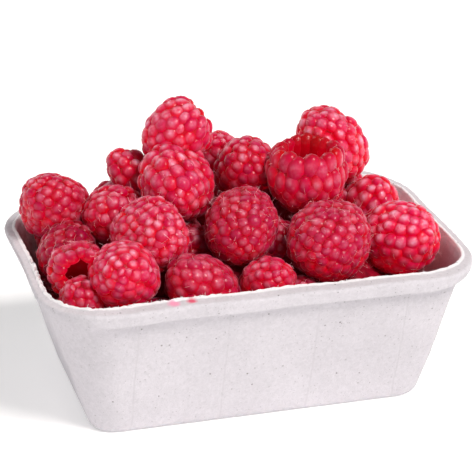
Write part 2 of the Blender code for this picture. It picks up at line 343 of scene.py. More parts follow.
def bead_rings(spec, draw):
    """Where the drupelets sit: one ring after another from the tip to the lip.

    Rings are a drupelet's width times sin 60 degrees apart, closer at the tip and drawn out at the
    lip. A ring holds as many drupelets as fit side by side round it, turned against the ring before.
    Each row of the answer is angle from tip, angle round, width, pitch along, share of the way.
    """
    drupelet, habit = spec[5], spec[7]
    lip, draw_out, stagger = HABITS[habit][:3]
    fine = np.linspace(0, math.radians(lip), 600)
    radius, height, _ = berry_outline(spec, fine)
    along = np.concatenate([[0], np.cumsum(np.hypot(np.diff(radius), np.diff(height)))])
    rows, at = [], 0.0
    while at < along[-1]:
        share = at / along[-1]
        pitch = drupelet * 0.87 * (0.84 + 0.16 * smooth(share, 0, 0.3))
        pitch *= 1 + (draw_out - 1) * smooth(share, 0.55, 0.95)
        rows.append((at, pitch))
        at += pitch
    scale = along[-1] / rows[-1][0]
    made, phase = [], draw.uniform(0, TURN)
    for at, pitch in rows:
        at, pitch = at * scale, pitch * scale
        share = at / along[-1]
        small = drupelet * (0.84 + 0.16 * smooth(share, 0, 0.3))
        ring = max(np.interp(at, along, radius) - 0.2 * drupelet, 0)
        count = max(1, round(TURN * ring / small))
        count = 5 if count < 4 and at > 0 else count
        phase += TURN / count * stagger * draw.uniform(0.8, 1.2)
        shake = 0.0 if count == 1 else 1.0
        ticks = phase + TURN * (np.arange(count) + shake * draw.uniform(-0.15, 0.15, count)) / count
        turns = np.interp(at, along, fine) + shake * draw.uniform(-0.045, 0.045, count)
        breadth = max(TURN * ring / count, 0.7 * small)
        made.append(np.stack([turns, ticks, np.full(count, breadth), np.full(count, pitch / 0.87),
                              np.full(count, share)], axis=-1))
    return np.concatenate(made)


def warp(points, width, length, seed):
    """Make one fruit unlike the next: oval, bent and lumpy, by smooth functions of place."""
    draw = np.random.default_rng(seed)
    oval = draw.uniform(-0.06, 0.06)
    bend = draw.uniform(-0.07, 0.07, 2) * width
    made = points.copy()
    made[..., 0] *= 1 + oval
    made[..., 1] *= 1 - oval
    high = points[..., 2] / length
    made[..., :2] += bend * (high ** 2)[..., None]
    lump = 1 + 0.045 * ripple(points.reshape(-1, 3), width * 0.9, seed + 1).reshape(points.shape[:-1])
    made[..., :2] *= lump[..., None]
    return made


def make_beads(spec, seed):
    """Drupelets of one fruit, as ellipsoids pressed together on its outline, in the fruit's axes.

    Each is set along the outline's normal, tipped a little, so that its top lies on the outline.
    """
    drupelet = spec[5]
    draw = np.random.default_rng(seed)
    turn, tick, breadth, pitch, share = bead_rings(spec, draw).T
    radius, height, slope = berry_outline(spec, turn)
    count = len(turn)
    upward = np.array([0, 0, 1.0])
    round_way = np.stack([-np.sin(tick), np.cos(tick), 0 * tick], axis=-1)
    out_way = np.stack([np.cos(tick), np.sin(tick), 0 * tick], axis=-1)
    down_way = out_way * slope[:, :1] + upward * slope[:, 1:]
    # The last drupelets of a cup stand up round its mouth
    stand = STANDING.get(spec[7], 0.0) * smooth(share, 0.8, 1)[:, None]
    down_way = (1 - stand) * down_way - stand * upward
    down_way /= np.linalg.norm(down_way, axis=1, keepdims=True)
    normal = np.cross(down_way, round_way)
    tilt = draw.normal(0, 0.08, (count, 2))
    normal = normal + tilt[:, :1] * round_way + tilt[:, 1:] * down_way
    normal /= np.linalg.norm(normal, axis=1, keepdims=True)
    swell = draw.normal(1.0, 0.11, count).clip(0.75, 1.25)
    rise = BEAD_RISE * drupelet * swell * (0.88 + 0.12 * smooth(share, 0, 0.3))
    rise *= 1 + 0.35 * smooth(share, 0.8, 1)
    across = BEAD_SPREAD * breadth * swell * (1 + 0.25 * stand[:, 0])
    along = BEAD_SPREAD * pitch * (0.5 + 0.5 * swell)
    top = out_way * radius[:, None] + upward * height[:, None]
    lift = draw.normal(0, 0.06, count) * drupelet
    centre = top + normal * (lift - rise)[:, None]
    theta = np.radians(BEAD_RINGS)[:, None]
    alpha = TURN * np.arange(BEAD_AROUND) / BEAD_AROUND
    ring_x, ring_y = np.sin(theta) * np.cos(alpha), np.sin(theta) * np.sin(alpha)
    ring_z = np.broadcast_to(np.cos(theta), ring_x.shape)
    foot = np.where(share > 0.9, 1.0, 0.6)
    deep = np.where(ring_z < 0, foot[:, None, None], 1.0) * ring_z
    meridian = np.cross(normal, round_way)
    meridian /= np.linalg.norm(meridian, axis=1, keepdims=True)
    side = np.cross(meridian, normal)
    loops = (centre[:, None, None]
             + ring_x[None, ..., None] * (across[:, None] * side)[:, None, None]
             + ring_y[None, ..., None] * (along[:, None] * meridian)[:, None, None]
             + deep[..., None] * (rise[:, None] * normal)[:, None, None])
    heads = centre + rise[:, None] * normal
    tails = centre - (foot * rise)[:, None] * normal
    return loops, heads, tails, draw


def make_body(spec):
    """The fruit's flesh behind the drupelets: outline, rolled lip, and the hollow left by its plug.

    The outline is sunk by a drupelet's height. The hollow narrows as the square root of one minus
    its depth to a power, and is ribbed by the drupelets' inner ends.
    """
    _, _, length, _, _, drupelet, _, habit = spec
    lip = math.radians(HABITS[habit][0] - 9)
    radius, height, slope = berry_outline(spec, np.linspace(0.12, lip, BODY_RINGS))
    sink = 0.24 * drupelet
    outer_r = np.maximum(radius + slope[:, 1] * sink, 0.05)
    outer_z = height - slope[:, 0] * sink
    thick = 0.45 * drupelet
    rim_r, rim_z = outer_r[-1] - thick, outer_z[-1]
    depth = 0.62 * length
    fall = np.linspace(0.0, 1.0, HOLLOW_RINGS)[:-1]
    inner_r = rim_r * np.sqrt(1 - fall ** 2.2) * (1 - 0.25 * fall)
    inner_z = rim_z + depth * fall
    profile_r = np.concatenate([outer_r, [rim_r + 0.75 * thick, rim_r + 0.25 * thick], inner_r])
    profile_z = np.concatenate([outer_z, [rim_z - 0.35 * thick, rim_z - 0.35 * thick], inner_z])
    alpha = TURN * np.arange(BODY_AROUND) / BODY_AROUND
    hollow = (np.arange(len(profile_r)) >= BODY_RINGS)[:, None]
    ribbed = profile_r[:, None] * (1 + 0.05 * np.cos(alpha * round(TURN * rim_r / drupelet)) * hollow)
    loops = np.stack([ribbed * np.cos(alpha), ribbed * np.sin(alpha),
                      np.broadcast_to(profile_z[:, None], ribbed.shape)], axis=-1)
    head = np.array([[0.0, 0.0, outer_z[0] + 0.02 * length]])
    tail = np.array([[0.0, 0.0, rim_z + depth]])
    return loops, head, tail


def place_berry(points, spec, axes, seed):
    centre, width, length = spec[:3]
    return warp(points, width, length, seed) @ axes + np.array(centre, float)


def buried(points, name, core_level):
    """True where a point lies inside another fruit or well under the dark fruit's surface."""
    hidden = points[:, 2] < core_level(points) - 2.0
    for other, (centre, width, length, heading, rise, _, _, habit) in BERRIES.items():
        if other == name or habit == "cup":
            continue
        local = (points - np.array(centre, float)) @ berry_axes(heading, rise, 0.0).T
        reach = np.linalg.norm(local / np.array([width / 2, width / 2, length / 2]), axis=1)
        hidden |= reach < 0.86
    return hidden


def open_share(points, normals, name):
    """Share of the soft light that reaches points on one fruit past all the others.

    Rays go out in fixed directions, spread evenly over the sky and towards the front. A ray is
    stopped where the quadratic for its meeting with another fruit's ellipsoid has a real root.
    """
    count = 40
    turn = np.arange(count) * math.pi * (3 - math.sqrt(5))
    rise = (np.arange(count) + 0.5) / count
    flat = np.sqrt(1 - rise ** 2)
    rays = np.stack([flat * np.cos(turn) + 0.3, flat * np.sin(turn) - 0.5, rise], axis=-1)
    rays /= np.linalg.norm(rays, axis=1, keepdims=True)
    free = np.ones((len(points), count), bool)
    for other, (centre, width, length, heading, slope, *_) in BERRIES.items():
        if other == name:
            continue
        half = np.array([width / 2, width / 2, length / 2])
        axes = berry_axes(heading, slope, 0.0).T
        start, ray = (points - np.array(centre, float)) @ axes / half, rays @ axes / half
        a, b = (ray ** 2).sum(axis=1), start @ ray.T
        c = (start ** 2).sum(axis=1, keepdims=True) - 1
        free &= ~((b < 0) & (b * b > a * c))
    facing = np.clip(normals @ rays.T, 0, None)
    return (facing * free).sum(axis=1) / facing.sum(axis=1).clip(0.15 * count)


def grown_beads(name, settings):
    """The drupelets of one raspberry that can be seen, in place: loops, outer and inner poles, tones."""
    spec = BERRIES[name]
    seed = settings.seed + 17 * list(BERRIES).index(name)
    roll = np.random.default_rng(seed + 5).uniform(0, TURN)
    axes = berry_axes(spec[3], spec[4], roll)
    loops, heads, tails, draw = make_beads(spec, seed)
    loops, heads, tails = (place_berry(p, spec, axes, seed) for p in (loops, heads, tails))
    shown = ~buried(heads, name, core_surface)
    tone = draw.uniform(-1, 1, shown.sum())
    body = [place_berry(p, spec, axes, seed) for p in make_body(spec)]
    loops, heads, tails = loops[shown], heads[shown], tails[shown]
    normals = heads - tails
    normals /= np.linalg.norm(normals, axis=1, keepdims=True)
    return loops, heads, tails, tone, open_share(heads, normals, name), spec[6], body


def make_fruit(names, settings):
    """Parts of all the named raspberries: their drupelets and their bodies, with map and attributes."""
    grown = [grown_beads(name, settings) for name in names]
    loops, heads, tails, tone, openness = (np.concatenate([g[k] for g in grown]) for k in range(5))
    # Each fruit's tone: its own colour, and painted light and shade by how it lies to the light
    ripeness = np.concatenate([np.full(len(g[0]), g[5]) for g in grown])
    columns = math.ceil(math.sqrt(len(loops) / (1 - BODY_BAND))) + 1
    theta = np.radians(np.array([0, *BEAD_RINGS, 180]))

    def bead_cell(column, level, number):
        """Each drupelet is a disc in its own cell, its outer pole at the middle."""
        x = (number % columns + 0.5 + 0.44 * level * np.cos(TURN * column)) / columns
        y = BODY_BAND + (number // columns + 0.5 + 0.44 * level * np.sin(TURN * column)) / columns
        return x, y

    def body_cell(column, level, number):
        """Each body is an upright strip in the band under the drupelets."""
        x = (number + 0.04 + 0.92 * column) / len(grown)
        return x, BODY_BAND * (0.03 + 0.92 * level) + 0 * x

    height = np.clip((np.cos(theta) - 0.3) / 0.7, 0, 1)
    beads = make_part(loops, heads, tails, np.array([0, *np.radians(BEAD_RINGS) / math.pi, 1.0]), bead_cell,
                      {"height": height[None], "tone": tone[:, None], "ripeness": ripeness[:, None],
                       "openness": openness[:, None]})
    body_loops = np.stack([g[6][0] for g in grown])
    rows = body_loops.shape[1] + 2
    outer, inner = (np.stack([g[6][k][0] for g in grown]) for k in (1, 2))
    flesh = make_part(body_loops, outer, inner,
                      np.linspace(0, 1, rows), body_cell,
                      {"height": 0.0, "tone": 0.0, "ripeness": np.array([g[5] for g in grown])[:, None],
                       "openness": np.array([0.8 * g[4].mean() for g in grown])[:, None]})
    return [beads, flesh]


def make_strands(roots, ways, draw, length, width, around, steps):
    """Fine tapered tubes. A point at share t along one is root + reach (t way + t^2 bend + t^3 curl).

    The reach is the length over that sum at the far end, so that a curly strand is no longer.
    """
    count = len(roots)
    ways = ways / np.linalg.norm(ways, axis=1, keepdims=True)
    bend, curl = draw.normal(0, 0.9, (count, 3)), draw.normal(0, 1.0, (count, 3))
    length = length * draw.uniform(0.55, 1.3, count)[:, None, None]
    share = np.linspace(0, 1, steps)[None, :, None]
    ways, bend, curl = ways[:, None], bend[:, None], curl[:, None]
    length = length / np.linalg.norm(ways + bend + curl, axis=-1, keepdims=True).clip(0.8)
    middle = roots[:, None] + length * (share * ways + share ** 2 * bend + share ** 3 * curl)
    along = ways + 2 * share * bend + 3 * share ** 2 * curl
    along /= np.linalg.norm(along, axis=-1, keepdims=True)
    side = np.cross(along, draw.normal(size=(count, 1, 3)))
    side /= np.linalg.norm(side, axis=-1, keepdims=True)
    other = np.cross(along, side)
    alpha = TURN * np.arange(around) / around
    girth = 0.5 * width * (1 - 0.55 * share[..., None])
    loops = middle[:, :, None] + girth * (np.cos(alpha)[:, None] * side[:, :, None]
                                          + np.sin(alpha)[:, None] * other[:, :, None])
    loops = loops[:, ::-1]
    return loops, middle[:, -1] + 0.3 * width * along[:, -1], middle[:, 0] - 0.3 * width * along[:, 0]


def strand_part(loops, heads, tails, tone):
    """One part of many strands, each an upright strip of the map, with its tone and its height."""
    columns = math.ceil(math.sqrt(len(loops) * 4))
    floors = math.ceil(len(loops) / columns)

    def cell(column, level, number):
        x = (number % columns + 0.1 + 0.8 * column) / columns
        return x, (number // columns + 0.05 + 0.9 * level) / floors + 0 * x

    rows = loops.shape[1] + 2
    return make_part(loops, heads, tails, np.linspace(0, 1, rows), cell,
                     {"height": np.linspace(1, 0, rows)[None], "tone": tone[:, None]})


def make_hairs(settings):
    """Dry styles: each grows from just under a drupelet's crown and leans at random."""
    draw = np.random.default_rng(settings.seed + 3)
    roots, ways = [], []
    for name, spec in BERRIES.items():
        _, heads, tails, _, openness = grown_beads(name, settings)[:5]
        normal = heads - tails
        normal /= np.linalg.norm(normal, axis=1, keepdims=True)
        kept = (draw.uniform(size=len(heads)) < HABITS[spec[-1]][3]) & (openness > 0.42)
        lean = draw.normal(0, 0.55, (len(heads), 3))
        roots.append((heads - 0.25 * normal)[kept])
        ways.append((normal + lean)[kept])
    roots, ways = np.concatenate(roots), np.concatenate(ways)
    loops, heads, tails = make_strands(roots, ways, draw, settings.hair_length / MM,
                                       settings.hair_width / MM, 3, 6)
    return strand_part(loops, heads, tails, draw.uniform(-1, 1, len(loops)))


def core_surface(points):
    """Level of the dark fruit under the heap: low along the walls, higher in the middle."""
    x = np.abs(points[:, 0]) / (RIM_LENGTH / 2)
    y = np.abs(points[:, 1]) / (RIM_WIDTH / 2)
    middle = (1 - smooth(x, 0.35, 0.95)) * (1 - smooth(y, 0.2, 0.95))
    return 29.0 + 15.0 * middle


def scattered(points, spacing, seed):
    """Distance to the nearest of points scattered one to a square cell, as a share of the spacing."""
    at = points / spacing
    home = np.floor(at)
    nearest = np.full(len(points), 9.0)
    for step in np.ndindex(3, 3):
        cell = home + np.array(step) - 1
        turn = cell @ np.array([[12.9898, 39.3467], [78.233, 11.135]]) + seed
        spot = cell + 0.5 + 0.32 * np.sin(turn * 7.31)
        nearest = np.minimum(nearest, np.linalg.norm(at - spot, axis=1))
    return nearest


def make_core():
    """The fruit deep in the heap, whose shapes can't be told apart: one closed body with its relief.

    Its top is the dark fruit's level plus domes a berry wide and domes a drupelet wide, each
    (1 - distance^2) high. It ends a little inside the tray's wall and runs down to near the floor.
    """
    clear = WALL + 1.0
    spans = np.linspace(0.02, 1.0, 56)
    edge = wall_loop(29.0, clear)
    top = np.array([edge * (span, span, 1.0) for span in spans])
    flat = top.reshape(-1, 3)
    level = core_surface(flat) + 2.6 * (1 - scattered(flat[:, :2], 17.0, 3) ** 2) - 1.2
    level += 0.9 * (1 - 2.2 * scattered(flat[:, :2], 3.4, 5) ** 2)
    flat[:, 2] = level
    sides = [wall_loop(height, clear) for height in (24.0, 18.0, 12.0, 6.0)]
    sides += [wall_loop(4.5, clear + inset) for inset in (1.5, 8.0, 20.0)]
    loops = np.concatenate([top, np.array(sides)])
    top_pole, foot_pole = (np.array([[0.0, 0.0, level]]) for level in (loops[0, :, 2].mean(), 4.5))

    def disc(column, level, number):
        """The top fills the map's disc, seen from above."""
        return 0.5 + 0.49 * level * np.cos(TURN * column), 0.5 + 0.49 * level * np.sin(TURN * column)

    rows = len(loops) + 2
    return make_part(loops[None], top_pole, foot_pole, np.linspace(0, 1, rows), disc, {})


def deep_fruit_material(settings):
    """Ripe raspberry flesh out of the light, wet with juice, with dull wet glints: its very dark red is
    painted shade.
    """
    material, tree, shader = new_material("shaded_raspberry")
    at = node(tree, "TexCoord", out="Object")
    mottle = node(tree, "TexNoise", {"Vector": at, "Scale": 1 / (5.0 * MM), "Detail": 3.0})
    pores = node(tree, "TexNoise", {"Vector": at, "Scale": 1 / (0.6 * MM)})
    feed(shader, {
        # Painted shade: the fruit under the heap is coloured a very dark red
        "Base Color": two_stops(node(tree, "ValToRGB", [mottle]), (0.35, "5c0616"), (0.7, settings.deep)),
        "Normal": node(tree, "Bump", {"Strength": 0.4, "Distance": 0.15 * MM, "Height": pores}),
        "Roughness": 0.5, "IOR": 1.40, "Specular IOR Level": 0.15})
    return material


def style_material(settings):
    """Dried raspberry styles: thin straw-like hairs, pale at the tip and stained red at the root."""
    material, tree, shader = new_material("dry_style")
    height = node(tree, "Attribute", out="Fac", attribute_name="height")
    tone = node(tree, "Attribute", out="Fac", attribute_name="tone")
    ramp = two_stops(node(tree, "ValToRGB", [height]), (0.0, "f04868"), (0.55, settings.hair))
    value = node(tree, "Math", (tone, 0.22, 0.95), operation="MULTIPLY_ADD")
    feed(shader, {"Base Color": node(tree, "HueSaturation", {"Value": value, "Color": ramp}),
                  "Roughness": 0.5})
    return material


def raspberry_material(settings):
    """Ripe raspberry: thin skin over clear juice, grown, with a velvet of fine hairs.

    The creases glow a vivid red: painted glow, emission on the undersides of the creases by the share of
    the light that each drupelet sees, and none on the crowns, standing in for the light that the juice
    passes on. Every drupelet has a paler, pinkish crown, most where it faces up: the velvet's colour and a
    painted highlight. The velvet gives a pale edge and a soft highlight instead of a hard one. Painted
    shade makes the skin darker on fruit that sees little light.
    """
    material, tree, shader = new_material("raspberry_skin")
    height, tone, ripe_and_lit, open_to = (node(tree, "Attribute", out="Fac", attribute_name=name)
                                   for name in ("height", "tone", "ripeness", "openness"))
    at = node(tree, "TexCoord", out="Object")
    up = node(tree, "SeparateXYZ", [node(tree, "NewGeometry", out="Normal")], out="Z")

    def product(first, *others):
        for other in others:
            first = node(tree, "Math", (first, other), operation="MULTIPLY")
        return first

    def varied(base, tone_share, ripe_and_lit_share):
        """The base plus shares of the drupelet's tone and of the fruit's tone, which is part the fruit's own
        colour and part painted light and shade.
        """
        base = node(tree, "Math", (ripe_and_lit, ripe_and_lit_share, base), operation="MULTIPLY_ADD")
        return node(tree, "Math", (tone, tone_share, base), operation="MULTIPLY_ADD")

    ramp = two_stops(node(tree, "ValToRGB", [height]), (0.05, settings.crease), (0.85, settings.flesh))
    # Painted shade: the skin's value falls where the drupelet sees little light
    shaded = node(tree, "MapRange", (open_to, 0.15, 0.75, 0.58, 1.0))
    skin = node(tree, "HueSaturation", {
        "Hue": varied(0.5, 0.005, 0.0), "Value": product(varied(1.0, 0.09, 0.12), shaded), "Color": ramp})
    cloud = node(tree, "TexNoise", {"Vector": at, "Scale": 1 / (2.6 * MM), "Detail": 4.0})
    # Velvet and painted highlight: the crowns are mixed towards the pale bloom colour, more where they face
    # up
    velvet = product(node(tree, "MapRange", (cloud, 0.40, 0.65, 0.10, 0.62)),
                     node(tree, "Math", (height, 5.0), operation="POWER"),
                     node(tree, "MapRange", (up, -0.3, 0.9, 0.35, 1.35)), varied(1.0, 0.3, 0.28))
    # Painted glow: emission in the creases, most on their undersides and where the drupelet sees light,
    # stands in for the light that the juice passes on
    crease = node(tree, "Math", (1.0, height), operation="SUBTRACT")
    under = node(tree, "MapRange", (up, 0.7, -0.3, 0.1 * settings.glow, settings.glow))
    pores = node(tree, "TexNoise", {"Vector": at, "Scale": 1 / (0.45 * MM), "Detail": 2.0})
    feed(shader, {
        "Base Color": node(tree, "Mix", {0: velvet, 6: skin, 7: rgba(settings.bloom_and_highlight)}, out=2,
                           data_type="RGBA"),
        "Normal": node(tree, "Bump", {"Strength": 0.4, "Distance": 0.1 * MM, "Height": pores}),
        "Roughness": 0.25, "IOR": 1.40, "Specular IOR Level": 0.30,
        "Emission Strength": product(crease, open_to, under), "Emission Color": rgba("f00024"),
        "Subsurface Weight": 0.3, "Subsurface Radius": (1.0, 0.15, 0.22), "Subsurface Scale": 1.5 * MM,
        "Sheen Weight": 0.5, "Sheen Roughness": 0.3, "Sheen Tint": rgba("ffc8d6")})
    return material


# Tray

def rounded_loop(half_x, half_y, corner_x, corner_y, height):
    """Plan outline of one level: four quarter ellipses joined by straight runs, anticlockwise."""
    corners = ((1, 1), (-1, 1), (-1, -1), (1, -1))
    starts = []
    for q, (sx, sy) in enumerate(corners):
        turn = np.radians(90 * (q + np.arange(ARC_STEPS + 1) / ARC_STEPS))
        arc = np.stack([sx * (half_x - corner_x) + corner_x * np.cos(turn),
                        sy * (half_y - corner_y) + corner_y * np.sin(turn)], axis=-1)
        nx, ny = corners[(q + 1) % 4]
        turn = math.radians(90 * (q + 1))
        end = np.array([nx * (half_x - corner_x) + corner_x * math.cos(turn),
                        ny * (half_y - corner_y) + corner_y * math.sin(turn)])
        steps = LONG_STEPS if q % 2 == 0 else SHORT_STEPS
        share = (np.arange(1, steps) / steps)[:, None]
        starts += [arc, arc[-1] + (end - arc[-1]) * share]
    plan = np.concatenate(starts)
    level = np.concatenate([plan, np.full((len(plan), 1), float(height))], axis=1)
    along = np.clip(level[:, 0] / (RIM_LENGTH / 2), -1, 1)
    share = np.clip(level[:, 2] / TRAY_HEIGHT, 0, 1) ** 2
    level[:, 1] -= np.sign(level[:, 1]) * SIDE_BOW * (1 - along ** 2) * share
    level[:, 2] -= CORNER_DIP * along ** 4 * share
    return level


def wall_loop(height, inward, swell=0.0):
    """Outline of the drafted wall at a height, moved inward from its outer face.

    The long sides may swell outward, in proportion to the height.
    """
    share = height / TRAY_HEIGHT
    half_x = (FOOT_LENGTH + (RIM_LENGTH + 2 * WALL - FOOT_LENGTH) * share) / 2 - inward
    half_y = (FOOT_WIDTH + (RIM_WIDTH + 2 * WALL - FOOT_WIDTH) * share) / 2 - inward
    corner = max(FOOT_CORNER + (RIM_CORNER + WALL - FOOT_CORNER) * share - inward, 0.5)
    return rounded_loop(half_x, half_y + swell * share, corner, corner + swell * share, height)


def rim_loop(out_long, out_short, drop_long, drop_short):
    """Outline on the rim, given how far it lies outside the inner edge and below the top."""
    loop = rounded_loop(RIM_LENGTH / 2 + out_short, RIM_WIDTH / 2 + out_long,
                        RIM_CORNER + out_short, RIM_CORNER + out_long, TRAY_HEIGHT)
    way_y = np.clip(np.abs(loop[:, 1]) - (RIM_WIDTH / 2 - RIM_CORNER), 0, None)
    way_x = np.clip(np.abs(loop[:, 0]) - (RIM_LENGTH / 2 - RIM_CORNER), 0, None)
    long_share = way_y ** 2 / (way_x ** 2 + way_y ** 2)
    loop[:, 2] -= drop_short + (drop_long - drop_short) * long_share
    return loop


def tray_loops():
    """Loops of the pressed shell from the middle of its floor, up, over the rim and back under.

    Also gives the rows of the rim's inner edge, and the first row of the outside.
    """
    inner_bend = BOTTOM_BEND - WALL
    inside = [wall_loop(WALL, inner_bend + WALL + inset) for inset in (24, 16, 8, 3)]
    for turn in np.radians(np.linspace(0, 90, 4)):
        inside.append(wall_loop(WALL + inner_bend * (1 - math.cos(turn)),
                                WALL + inner_bend * (1 - math.sin(turn))))
    heights = np.linspace(WALL + inner_bend, TRAY_HEIGHT - 1.2, 16)[1:]
    inside += [wall_loop(height, WALL) for height in heights]
    # A low ridge stands on the inner edge, where the pulp was cut from its mould
    edge = [rim_loop(out, out, drop, drop) for out, drop in
            ((0.02, 0.55), (0.08, 0.1), (0.25, -0.2), (0.5, -0.34), (0.8, -0.25), (1.15, -0.05))]
    flat_long, flat_short = FLANGE_LONG - RIM_ROUND, FLANGE_SHORT - RIM_ROUND
    top = []
    for share in (0.15, 0.4, 0.7, 1.0):
        top.append(rim_loop(1.15 + (flat_long - 1.15) * share, 1.15 + (flat_short - 1.15) * share,
                            0.15 * share, 0.15 * share))
    for turn in np.radians((20, 40, 60, 80)):
        out, drop = RIM_ROUND * math.sin(turn), RIM_ROUND * (1 - math.cos(turn))
        top.append(rim_loop(flat_long + 0.9 * out, flat_short + 0.9 * out, 0.15 + drop, 0.15 + drop))
    outside = []
    for share in (0.1, 0.3, 0.5, 0.7, 0.9, 1.0):
        outside.append(rim_loop(FLANGE_LONG - SKIRT_DRAFT * share, FLANGE_SHORT - 0.3 * share,
                                0.9 + (SKIRT_LONG - 0.9) * share, 0.9 + (SKIRT_SHORT - 0.9) * share))
    foot = FLANGE_LONG - SKIRT_DRAFT
    outside.append(rim_loop(foot - 0.15, FLANGE_SHORT - 0.4, SKIRT_LONG + 0.12, SKIRT_SHORT + 0.1))
    outside.append(rim_loop(foot - 0.55, FLANGE_SHORT - 0.7, SKIRT_LONG + 0.05, SKIRT_SHORT + 0.05))
    outside.append(rim_loop(foot - 0.75, FLANGE_SHORT - 0.9, SKIRT_LONG - 0.5, SKIRT_SHORT))
    outside.append(rim_loop(foot - 0.8, WALL + 0.9, SKIRT_LONG - 1.4, WALL + 0.6))
    outside.append(rim_loop(WALL + SWELL_LONG - 0.6, WALL + 0.4, WALL + 1.5, WALL + 0.8))
    heights = np.linspace(TRAY_HEIGHT - 3.6, BOTTOM_BEND, 22)
    outside += [wall_loop(height, 0.0, SWELL_LONG) for height in heights]
    for turn in np.radians(np.linspace(90, 0, 6)[1:]):
        outside.append(wall_loop(BOTTOM_BEND * (1 - math.cos(turn)), BOTTOM_BEND * (1 - math.sin(turn)),
                                 SWELL_LONG))
    outside += [wall_loop(0.0, BOTTOM_BEND + inset) for inset in (3, 8, 16, 24)]
    first = len(inside)
    return np.array(inside + edge + top + outside), (first, first + len(edge)), first + len(edge) + len(top)


def tray_relief(loops):
    """Push the pressed surface about, as drying does.

    Slow waves of a few centimetres warp the walls and rim, and shorter ones roughen the felt.
    """
    made = loops.copy()
    flat, moved = loops.reshape(-1, 3), made.reshape(-1, 3)
    share = flat[:, :2] / np.array([RIM_LENGTH / 2, RIM_WIDTH / 2])
    way = np.sign(share) * share ** 4
    way /= np.linalg.norm(way, axis=1, keepdims=True) + 1e-9
    high = smooth(flat[:, 2], 1.5, 12.0)
    push = 0.30 * ripple(flat, 34.0, 3) * high + 0.09 * ripple(flat, 5.0, 4) * high
    moved[:, :2] += way * push[:, None]
    top = smooth(flat[:, 2], TRAY_HEIGHT - 6.0, TRAY_HEIGHT - 1.0)
    moved[:, 2] += top * (0.18 * ripple(flat[:, :2], 22.0, 5) + 0.08 * ripple(flat[:, :2], 3.2, 6))
    return made


def torn_share(points):
    """How torn the rim is at a place: a little everywhere, and fully so at the front left."""
    rough = 0.2 + 0.4 * smooth(ripple(points[:, :2], 30.0, 11), 0.0, 0.5)
    return np.maximum(rough, (points[:, 1] < 0) * smooth(-points[:, 0], 8, 20))


def tear_rim(loops, rows):
    """Tatter the rim's inner edge by short waves, in and out and up and down."""
    edge = loops[rows[0]:rows[1]]
    flat = edge.reshape(-1, 3)
    rough = torn_share(flat)
    draw = ripple(flat[:, :2], 4.6, 12) + 0.55 * ripple(flat[:, :2], 1.8, 13)
    inward = -flat[:, :2] / np.linalg.norm(flat[:, :2], axis=1, keepdims=True)
    moved = flat.copy()
    moved[:, :2] += inward * (0.36 * rough * draw)[:, None]
    moved[:, 2] += 0.22 * rough * (ripple(flat[:, :2], 2.4, 14) + 0.3)
    loops[rows[0]:rows[1]] = moved.reshape(edge.shape)
    return loops


def make_fibres(loops, rows, seed):
    """Loose tufts of fibre along the torn edge, most where it is most torn."""
    draw = np.random.default_rng(seed)
    ridge = loops[rows[0] + 3]
    rough = torn_share(ridge)
    count = 110
    picks = draw.choice(len(ridge), count, p=rough ** 2 / (rough ** 2).sum())
    start, end = ridge[picks], ridge[(picks + 1) % len(ridge)]
    roots = start + (end - start) * draw.uniform(0, 1, (count, 1)) + draw.normal(0, 0.1, (count, 3))
    inward = -roots * np.array([1.0, 1.0, 0.0])
    inward /= np.linalg.norm(inward, axis=1, keepdims=True)
    ways = inward * draw.uniform(-0.5, 1.0, (count, 1)) + draw.normal(0, 0.6, (count, 3)) + (0, 0, 0.25)
    parts = make_strands(roots, ways, draw, 0.7, 0.24, 3, 4)
    return strand_part(*parts, draw.uniform(-1, 1, count))


